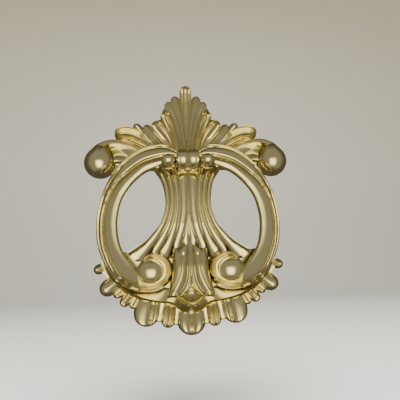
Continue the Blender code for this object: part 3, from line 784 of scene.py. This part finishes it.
def bowl():
    """The shell-like bowl at the palmette's foot, whose rim a finger lifts."""
    x, z, across, down = BOWL
    rim, floor = 21.2, 15.0
    inside = [(r, floor + (rim - floor) * r ** 2.2) for r in (0.0, 0.15, 0.3, 0.42, 0.54, 0.64, 0.72, 0.79)]
    profile = inside + [(0.81, 20.6), (0.84, 21.7), (0.88, 22.3), (0.92, 22.4), (0.96, 22.0), (0.99, 21.2),
                        (1.0, 20.0), (0.95, 18.0), (0.88, 16.2), (0.78, 14.0), (0.7, RING_BACK),
                        (0.0, RING_BACK)]
    bm = turned([(across * r, h) for r, h in profile], 0, 0, 120)
    bmesh.ops.scale(bm, verts=bm.verts[:], vec=(1, 1, down / across))
    bmesh.ops.translate(bm, verts=bm.verts[:], vec=place(x, z, 0))
    kept = bm.verts[:] + bm.edges[:] + bm.faces[:]
    bmesh.ops.bisect_plane(bm, geom=kept, plane_co=place(0, BOWL_TOP, 0), plane_no=(0, 0, 1),
                           clear_outer=True)
    bmesh.ops.holes_fill(bm, edges=[edge for edge in bm.edges if edge.is_boundary], sides=0)
    bmesh.ops.recalc_face_normals(bm, faces=bm.faces[:])
    return bm


def fist(side):
    """The scrolled end of an arm beside the knuckle, like a short barrel with round ends."""
    steps, around = 40, 48
    middle, half, deep = 11.6, 4.9, 6.4
    rows = []
    for j in range(steps + 1):
        s = -0.995 + 1.99 * j / steps
        radius = (1 - abs(s) ** 2.3) ** (1 / 2.3)
        rows.append(hoop_row(side * (middle + half * s), PIVOT_Z - 0.8, PIVOT_H + 0.2,
                             half * radius, deep * radius, around))
    return loft(rows)


def ring_mesh():
    """The whole ring as one mesh."""
    bodies = [palmette(), bowl()]
    for side in (1, -1):
        bodies.append(arm(side))
        bodies.append(fist(side))
        bodies.append(ellipsoid(side * EYE[0], EYE[1], 17.6, (7.6, 7.0, 4.6)))
        bodies.append(cylinder(8.4, place(side * VOLUTE[0], VOLUTE[1], RING_BACK + 0.4),
                               place(side * VOLUTE[0], VOLUTE[1], 17.6)))
    cuts = [cylinder(PIN_BORE, place(-13.7, PIVOT_Z, PIVOT_H), place(24, PIVOT_Z, PIVOT_H)),
            cylinder(12.3, place(-6.6, PIVOT_Z, PIVOT_H), place(6.6, PIVOT_Z, PIVOT_H)),
            cylinder(5.6, place(0, STUD_Z, 8), place(0, STUD_Z, RING_BACK + 0.05))]
    return fused(bodies, cuts, "ring_casting")


# ---------------------------------------------------------------- fittings

def screw_mesh(z):
    """A pan-headed screw through the door: threaded shank, rounded head and driving slot."""
    head_end, tip = -SCREW_HI.y / UNIT, -SCREW_LO.y / UNIT
    head_radius = (SCREW_HI.z - SCREW_LO.z) / 2 / UNIT
    shank, thread_depth, head_height, slot_half, slot_depth = 2.0, 0.42, 2.6, 0.55, 1.2
    around, rows_per_turn = 32, 8
    start = tip - THREAD_LENGTH
    rows = []
    count = round(THREAD_LENGTH / PITCH * rows_per_turn)
    heights = [head_end + head_height - 0.5, start - 0.4]
    heights += [start + THREAD_LENGTH * k / count for k in range(count + 1)]
    for h in heights:
        fade = min(1.0, max(0.0, (h - start) / PITCH)) * min(1.0, (tip - h) / PITCH + 0.5)
        chamfer = 0.5 * max(0.0, 1 - (tip - h) / 0.6)
        row = []
        for n in range(around):
            turn = n / around
            phase = (h / PITCH - turn) % 1.0
            groove = thread_depth * (1 - abs(2 * phase - 1)) * fade
            radius = shank - groove - chamfer
            angle = 2 * math.pi * turn
            row.append(place(radius * math.cos(angle), z + radius * math.sin(angle), h))
        rows.append(row)
    head = [(0.0, 0.0), (0.58, 0.0), (0.76, 0.16), (0.90, 0.50), (0.98, 1.1), (1.0, 1.8), (1.0, 2.4),
            (0.95, head_height), (0.0, head_height)]
    cap = turned([(head_radius * r, head_end + h) for r, h in head], 0, z, 64)
    slot_edge = ((0, z - slot_half), (6, z - slot_half), (6, z + slot_half), (0, z + slot_half))
    slot_cut = slab(slot_edge, head_end - 0.5, head_end + slot_depth)
    return fused([cap, loft(rows)], [slot_cut], "screw")


def washer_mesh(z):
    """A plain washer with softened edges."""
    outer = (WASHER_HI.z - WASHER_LO.z) / 2 / UNIT
    low, high = -WASHER_HI.y / UNIT, -WASHER_LO.y / UNIT
    bore, soft = 2.3, 0.2
    profile = [(bore + soft, low), (outer - 1.5 * soft, low), (outer, low + 1.5 * soft),
               (outer, high - soft), (outer - soft, high), (bore + soft, high), (bore, high - soft),
               (bore, low + soft)]
    return to_mesh(turned(profile, 0, z, 96), "washer")


def pin_mesh():
    """The hinge pin, with chamfered ends."""
    radius = (PIN_HI.z - PIN_LO.z) / 2 / UNIT
    left, right = PIN_LO.x / UNIT, PIN_HI.x / UNIT
    rows = []
    for x, share in ((left, 0.72), (left + 0.25, 0.92), (left + 0.55, 1.0), (0.0, 1.0), (right - 0.55, 1.0),
                     (right - 0.25, 0.92), (right, 0.72)):
        rows.append(hoop_row(x, PIVOT_Z, PIVOT_H, radius * share, radius * share, 48))
    return to_mesh(loft(rows), "pin")


def stud_mesh():
    """The button that the ring lands on, with a bead round its side and a crowned face."""
    foot, top = -STUD_HI.y / UNIT, -STUD_LO.y / UNIT
    radius = (STUD_HI.z - STUD_LO.z) / 2 / UNIT
    seat = foot + 3.5
    stem = [(0.0, foot), (1.7, foot), (2.0, foot + 0.3), (2.0, seat)]
    side = [(0.3, seat), (0.0, seat + 0.3), (0.0, seat + 1.2), (0.35, seat + 1.5), (0.35, seat + 2.0),
            (0.0, seat + 2.3), (0.0, top - 1.6), (0.15, top - 1.0), (0.6, top - 0.45), (1.4, top - 0.12),
            (2.6, top)]
    profile = stem + [(radius - inset, h) for inset, h in side] + [(0.0, top)]
    return to_mesh(turned(profile, 0, STUD_Z, 96), "stud")


# ---------------------------------------------------------------- materials

class Value:
    """A shader value; arithmetic on it adds Math nodes to its tree."""

    def __init__(self, tree, socket):
        self.tree = tree
        self.socket = socket

    def _math(self, operation, first, second):
        node = self.tree.nodes.new("ShaderNodeMath")
        node.operation = operation
        for slot_in, item in zip(node.inputs, (first, second)):
            if isinstance(item, Value):
                self.tree.links.new(item.socket, slot_in)
            else:
                slot_in.default_value = item
        return Value(self.tree, node.outputs[0])

    def __add__(self, other):
        return self._math("ADD", self, other)

    def __radd__(self, other):
        return self._math("ADD", other, self)

    def __mul__(self, other):
        return self._math("MULTIPLY", self, other)

    def __rmul__(self, other):
        return self._math("MULTIPLY", other, self)


class Graph:
    """A node tree under construction."""

    def __init__(self, owner):
        owner.use_nodes = True
        self.tree = owner.node_tree

    def add(self, kind, settings=None, inputs=None, out=0):
        """Adds a node, sets it up, feeds its sockets and returns one output as a Value."""
        node = self.tree.nodes.new(kind)
        for key, value in (settings or {}).items():
            setattr(node, key, value)
        for key, value in (inputs or {}).items():
            self.feed(node.inputs[key], value)
        return Value(self.tree, node.outputs[out])

    def feed(self, socket, value):
        """Links a Value to a socket, or sets the socket to a plain value."""
        if isinstance(value, Value):
            self.tree.links.new(value.socket, socket)
        else:
            socket.default_value = value

    def between(self, value, low, high, soft):
        """1 where a value lies between two limits, with soft edges."""
        limits = ((low - soft, low + soft), (high + soft, high - soft))
        inside = [self.add("ShaderNodeMapRange", {"interpolation_type": "SMOOTHSTEP"},
                           {"Value": value, "From Min": start, "From Max": end}) for start, end in limits]
        return inside[0] * inside[1]


class Finish(Graph):
    """A node material under construction."""

    def __init__(self, name):
        self.material = bpy.data.materials.new(name)
        super().__init__(self.material)
        self.shader = self.tree.nodes["Principled BSDF"]

    def set(self, **inputs):
        """Feeds the Principled shader; names use underscores for spaces."""
        for key, value in inputs.items():
            self.feed(self.shader.inputs[key.replace("_", " ")], value)


def plated_brass(finish):
    """Bright plated brass with a polished skin: soft waves, faint haze and fine rubbing marks."""
    made = Finish("polished_plated_brass")
    place_on = made.add("ShaderNodeTexCoord", out=3)
    tone = made.add("ShaderNodeTexNoise", inputs={"Vector": place_on, "Scale": 60.0, "Detail": 3.0})
    haze = made.add("ShaderNodeTexNoise", inputs={"Vector": place_on, "Scale": 240.0, "Detail": 5.0})
    wave = made.add("ShaderNodeTexNoise", inputs={"Vector": place_on, "Scale": 130.0, "Detail": 1.0})
    deep = (*finish.brass_deep, 1.0)
    pale = (*finish.brass_pale, 1.0)
    colour = made.add("ShaderNodeMix", {"data_type": "RGBA"}, {"Factor": tone, "A": deep, "B": pale}, out=2)
    bumped = made.add("ShaderNodeBump", inputs={"Strength": 0.12, "Distance": 0.0004, "Height": wave})
    made.set(Base_Color=colour, Metallic=1.0, Roughness=finish.roughness + 0.08 * haze, Normal=bumped)
    return made.material


def cast_back(finish):
    """The unpolished inside of the casting: grey, fine-grained, slightly plated over."""
    made = Finish("as_cast_back")
    place_on = made.add("ShaderNodeTexCoord", out=3)
    grain = made.add("ShaderNodeTexNoise", inputs={"Vector": place_on, "Scale": 900.0, "Detail": 4.0})
    patch = made.add("ShaderNodeTexNoise", inputs={"Vector": place_on, "Scale": 45.0, "Detail": 4.0})
    grey = (*finish.cast_grey, 1.0)
    gilt = (*finish.brass_deep, 1.0)
    colour = made.add("ShaderNodeMix", {"data_type": "RGBA"}, {"Factor": patch, "A": grey, "B": gilt}, out=2)
    bumped = made.add("ShaderNodeBump", inputs={"Strength": 0.5, "Distance": 0.0003, "Height": grain})
    made.set(Base_Color=colour, Metallic=0.9, Roughness=0.38 + 0.25 * grain, Normal=bumped)
    return made.material


def zinc_steel(finish):
    """Zinc-plated steel with a cloudy, slightly brushed face."""
    made = Finish("zinc_plated_steel")
    place_on = made.add("ShaderNodeTexCoord", out=3)
    cloud = made.add("ShaderNodeTexNoise", inputs={"Vector": place_on, "Scale": 350.0, "Detail": 4.0})
    grain = made.add("ShaderNodeTexNoise", inputs={"Vector": place_on, "Scale": 2500.0, "Detail": 2.0})
    dark = (*[0.72 * part for part in finish.steel], 1.0)
    light = (*finish.steel, 1.0)
    colour = made.add("ShaderNodeMix", {"data_type": "RGBA"}, {"Factor": cloud, "A": dark, "B": light}, out=2)
    bumped = made.add("ShaderNodeBump", inputs={"Strength": 0.25, "Distance": 0.0001, "Height": grain})
    made.set(Base_Color=colour, Metallic=1.0, Roughness=0.22 + 0.2 * cloud, Normal=bumped)
    return made.material


def finish_of(maker):
    """The scene's one material of a kind, made the first time it is asked for."""
    made = KEPT.get(maker.__name__)
    if made is None:
        made = KEPT[maker.__name__] = maker(bpy.context.scene.knocker_finish)
    return made


KEPT = {}


# ---------------------------------------------------------------- settings

class KnockerPlate(bpy.types.PropertyGroup):
    """Sizes of the cast plate that a maker would change."""
    flute_depth: bpy.props.FloatProperty(
        name="Flute depth", description="Depth of the waist's flutes, in mm", default=0.85, min=0.0, max=2.5)
    rim_width: bpy.props.FloatProperty(
        name="Rim width", description="Rim round the hollow back, in mm", default=3.0, min=1.5, max=5.0)


class KnockerFinish(bpy.types.PropertyGroup):
    """Colours and polish."""
    brass_pale: bpy.props.FloatVectorProperty(
        name="Pale brass", description="Lightest tone of the plating",
        subtype="COLOR", size=3, default=(0.86, 0.79, 0.54), min=0, max=1)
    brass_deep: bpy.props.FloatVectorProperty(
        name="Deep brass", description="Deepest tone of the plating",
        subtype="COLOR", size=3, default=(0.78, 0.71, 0.46), min=0, max=1)
    cast_grey: bpy.props.FloatVectorProperty(
        name="Cast grey", description="Bare casting inside the plate",
        subtype="COLOR", size=3, default=(0.42, 0.40, 0.36), min=0, max=1)
    steel: bpy.props.FloatVectorProperty(
        name="Zinc", description="Plating of the screws, washers and pin",
        subtype="COLOR", size=3, default=(0.66, 0.68, 0.70), min=0, max=1)
    roughness: bpy.props.FloatProperty(
        name="Polish", description="Roughness of the polished plating",
        default=0.12, min=0.0, max=1.0, subtype="FACTOR")


class KnockerStage(bpy.types.PropertyGroup):
    """Camera and light."""
    azimuth: bpy.props.FloatProperty(
        name="Azimuth", description="Camera's turn round the knocker",
        default=math.radians(-4.3), subtype="ANGLE")
    elevation: bpy.props.FloatProperty(
        name="Elevation", description="Camera's height angle", default=math.radians(-10.5), subtype="ANGLE")
    roll: bpy.props.FloatProperty(
        name="Roll", description="Camera's tilt about its own axis",
        default=math.radians(-1.92), subtype="ANGLE")
    distance: bpy.props.FloatProperty(
        name="Distance", description="From the camera to the point it looks at",
        default=0.2332, unit="LENGTH")
    aim: bpy.props.FloatVectorProperty(
        name="Aim", description="Point that the camera looks at",
        size=3, default=(0.00768, 0.0, 0.00331), subtype="XYZ", unit="LENGTH")
    lens: bpy.props.FloatProperty(
        name="Lens", description="Focal length on a 36 mm sensor, in mm", default=33.3)
    floor_power: bpy.props.FloatProperty(
        name="Floor light", description="Power of the light over the floor", default=38.0, unit="POWER")
    window: bpy.props.FloatVectorProperty(
        name="Window", description="Light of the window in front",
        subtype="COLOR", size=3, default=(3.3, 2.95, 1.50), min=0, max=4)
    haze: bpy.props.FloatVectorProperty(
        name="Haze", description="Dimmer light round the window",
        subtype="COLOR", size=3, default=(0.31, 0.285, 0.205), min=0, max=4)
    air: bpy.props.FloatVectorProperty(
        name="Air", description="Dim light from the rest of the room",
        subtype="COLOR", size=3, default=(0.105, 0.092, 0.062), min=0, max=1)
    pale: bpy.props.FloatVectorProperty(
        name="Pale", description="What the camera sees past the floor",
        subtype="COLOR", size=3, default=(0.72, 0.69, 0.62), min=0, max=1)
    window_sides: bpy.props.FloatVectorProperty(
        name="Window sides", description="Azimuths of its two sides, in degrees",
        size=2, default=(-18.0, 22.0))
    window_heights: bpy.props.FloatVectorProperty(
        name="Window heights", description="Height angles of its foot and top, in degrees",
        size=2, default=(-40.0, 4.0))


# ---------------------------------------------------------------- operators

class KNOCKER_OT_plate(bpy.types.Operator):
    """Make the cast backplate with its fan, waist, knuckle and fringe"""
    bl_idname = "knocker.plate"
    bl_label = "Backplate"

    def execute(self, context):
        mesh = plate_mesh(context.scene.knocker_plate)
        add_piece(mesh, "plate_casting", "plate",
                  (finish_of(plated_brass), finish_of(cast_back)), ("backplate",))
        hollow, skin = 3.0 * UNIT, 0.00002
        for face in mesh.polygons:
            inside = face.normal.y > 0.5 and -hollow < face.center.y < -skin
            face.material_index = 1 if inside else 0
        return {"FINISHED"}


class KNOCKER_OT_ring(bpy.types.Operator):
    """Make the swinging ring with its volutes and palmette"""
    bl_idname = "knocker.ring"
    bl_label = "Ring"

    def execute(self, context):
        add_piece(ring_mesh(), "ring_casting", "ring", (finish_of(plated_brass),),
                  ("knocker_ring",))
        return {"FINISHED"}


class KNOCKER_OT_fittings(bpy.types.Operator):
    """Make the hinge pin, the strike stud and the two screws with their washers"""
    bl_idname = "knocker.fittings"
    bl_label = "Fittings"

    def execute(self, context):
        steel = (finish_of(zinc_steel),)
        for end, z in (("upper", SCREW_Z), ("lower", -SCREW_Z)):
            add_piece(screw_mesh(z), f"threaded_screw_{end}", "plate", steel,
                      (f"mounting_screw_{end}",))
            add_piece(washer_mesh(z), f"soft_washer_{end}", "plate", steel, (f"washer_{end}",))
        add_piece(pin_mesh(), "chamfered_pin", "ring", steel, ("hinge_pin",))
        add_piece(stud_mesh(), "turned_stud", "plate", (finish_of(plated_brass),),
                  ("strike_stud",))
        return {"FINISHED"}


class KNOCKER_OT_stage(bpy.types.Operator):
    """Set up the floor, the light and the camera"""
    bl_idname = "knocker.stage"
    bl_label = "Stage"

    def execute(self, context):
        stage = context.scene.knocker_stage
        make_sweep()
        make_world(context.scene, stage)
        make_light("over_floor", position=(0.0, -0.5, 0.9), target=(0.0, -0.3, -0.12), size=(1.2, 0.9),
                   power=stage.floor_power)
        make_camera(context.scene, stage)
        return {"FINISHED"}


def make_sweep():
    """A pale floor that curves up into a backdrop far behind."""
    half_width, front, depth, height, bend, steps = 3.0, 2.5, 1.4, 1.6, 0.5, 16
    bm = bmesh.new()
    start = bm.verts.new((-half_width, -front, FLOOR_Z))
    end = bm.verts.new((half_width, -front, FLOOR_Z))
    edge = [bm.edges.new((start, end))]
    moves = [(0, front + depth - bend, 0)]
    for k in range(steps):
        a0, a1 = math.pi / 2 * k / steps, math.pi / 2 * (k + 1) / steps
        moves.append((0, bend * (math.sin(a1) - math.sin(a0)), bend * (math.cos(a0) - math.cos(a1))))
    moves.append((0, 0, height))
    for move in moves:
        grown = bmesh.ops.extrude_edge_only(bm, edges=edge)["geom"]
        edge = [item for item in grown if isinstance(item, bmesh.types.BMEdge)
                and all(v in grown for v in item.verts)]
        bmesh.ops.translate(bm, verts=[v for v in grown if isinstance(v, bmesh.types.BMVert)], vec=move)
    bmesh.ops.recalc_face_normals(bm, faces=bm.faces[:])
    mesh = to_mesh(bm, "sweep")
    mesh.shade_smooth()
    made = Finish("studio_paper")
    made.set(Base_Color=(0.80, 0.79, 0.77, 1.0), Roughness=0.85)
    mesh.materials.append(made.material)
    sweep = bpy.data.objects.new("studio_sweep", mesh)
    bpy.context.scene.collection.objects.link(sweep)
    sweep.visible_glossy = False


def make_world(scene, stage):
    """The room round the studio: a window low in front in a wide haze, dim behind, pale to the camera."""
    world = bpy.data.worlds.new("studio_air")
    sky = Graph(world)
    heading = sky.add("ShaderNodeTexCoord")
    split_xyz = sky.add("ShaderNodeSeparateXYZ", inputs={"Vector": heading})
    node = split_xyz.socket.node
    x, y, z = (Value(sky.tree, socket) for socket in node.outputs)
    azimuth = sky.add("ShaderNodeMath", {"operation": "ARCTAN2"}, {0: x, 1: -1.0 * y})
    rise = sky.add("ShaderNodeMath", {"operation": "ARCSINE"}, {0: z})
    window = (sky.between(azimuth, *(math.radians(a) for a in stage.window_sides), math.radians(12))
              * sky.between(rise, *(math.radians(a) for a in stage.window_heights), math.radians(11)))
    halo = (sky.between(azimuth, math.radians(-75), math.radians(75), math.radians(22))
            * sky.between(rise, math.radians(-62), math.radians(58), math.radians(16)))
    dim = sky.add("ShaderNodeMix", {"data_type": "RGBA"},
                  {"Factor": halo, "A": (*stage.air, 1.0), "B": (*stage.haze, 1.0)}, out=2)
    room = sky.add("ShaderNodeMix", {"data_type": "RGBA"},
                   {"Factor": window, "A": dim, "B": (*stage.window, 1.0)}, out=2)
    seen = sky.add("ShaderNodeLightPath")
    seen_or_room = sky.add("ShaderNodeMix", {"data_type": "RGBA"},
                           {"Factor": seen, "A": room, "B": (*stage.pale, 1.0)}, out=2)
    sky.feed(world.node_tree.nodes["Background"].inputs["Color"], seen_or_room)
    scene.world = world


def make_light(name, position, target, size, power):
    """A soft rectangular light that faces a point and isn't mirrored in the metal."""
    data = bpy.data.lights.new(name, "AREA")
    data.shape = "RECTANGLE"
    data.size, data.size_y = size
    data.energy = power
    data.color = (1.0, 0.985, 0.945)
    light = bpy.data.objects.new(name, data)
    light.location = position
    light.rotation_euler = (Vector(position) - Vector(target)).to_track_quat("Z", "Y").to_euler()
    light.visible_camera = False
    light.visible_glossy = False
    bpy.context.scene.collection.objects.link(light)


def make_camera(scene, stage):
    """The camera, low and slightly to the left, looking up at the knocker."""
    a, e = stage.azimuth, stage.elevation
    back = Vector((math.sin(a) * math.cos(e), -math.cos(a) * math.cos(e), math.sin(e)))
    data = bpy.data.cameras.new("camera")
    data.sensor_width = 36.0
    data.lens = stage.lens
    data.clip_start, data.clip_end = 0.01, 20.0
    camera = bpy.data.objects.new("camera", data)
    turn = back.to_track_quat("Z", "Y").to_matrix() @ Matrix.Rotation(stage.roll, 3, "Z")
    camera.matrix_world = Matrix.LocRotScale(Vector(stage.aim) + back * stage.distance, turn, None)
    scene.collection.objects.link(camera)
    scene.camera = camera


class KNOCKER_PT_panel(bpy.types.Panel):
    """Lists the knocker's settings and the steps that make it"""
    bl_label = "Door knocker"
    bl_space_type = "VIEW_3D"
    bl_region_type = "UI"
    bl_category = "Knocker"

    def draw(self, context):
        for group in ("knocker_plate", "knocker_finish", "knocker_stage"):
            settings = getattr(context.scene, group)
            box = self.layout.box()
            for key in settings.bl_rna.properties.keys():
                if key not in ("rna_type", "name"):
                    box.prop(settings, key)
        for step in STEPS:
            self.layout.operator(step.bl_idname)


STEPS = (KNOCKER_OT_plate, KNOCKER_OT_ring, KNOCKER_OT_fittings, KNOCKER_OT_stage)
GROUPS = {"knocker_plate": KnockerPlate, "knocker_finish": KnockerFinish, "knocker_stage": KnockerStage}


def register():
    """Registers the settings, the steps and the panel."""
    for name, group in GROUPS.items():
        bpy.utils.register_class(group)
        setattr(bpy.types.Scene, name, bpy.props.PointerProperty(type=group))
    for step in (*STEPS, KNOCKER_PT_panel):
        bpy.utils.register_class(step)


def unregister():
    """Takes everything out again."""
    for step in (KNOCKER_PT_panel, *reversed(STEPS)):
        bpy.utils.unregister_class(step)
    for name, group in GROUPS.items():
        delattr(bpy.types.Scene, name)
        bpy.utils.unregister_class(group)


def main():
    """Makes the knocker step by step."""
    register()
    bpy.ops.knocker.stage()
    bpy.ops.knocker.plate()
    bpy.ops.knocker.ring()
    bpy.ops.knocker.fittings()


if __name__ == "__main__":
    main()
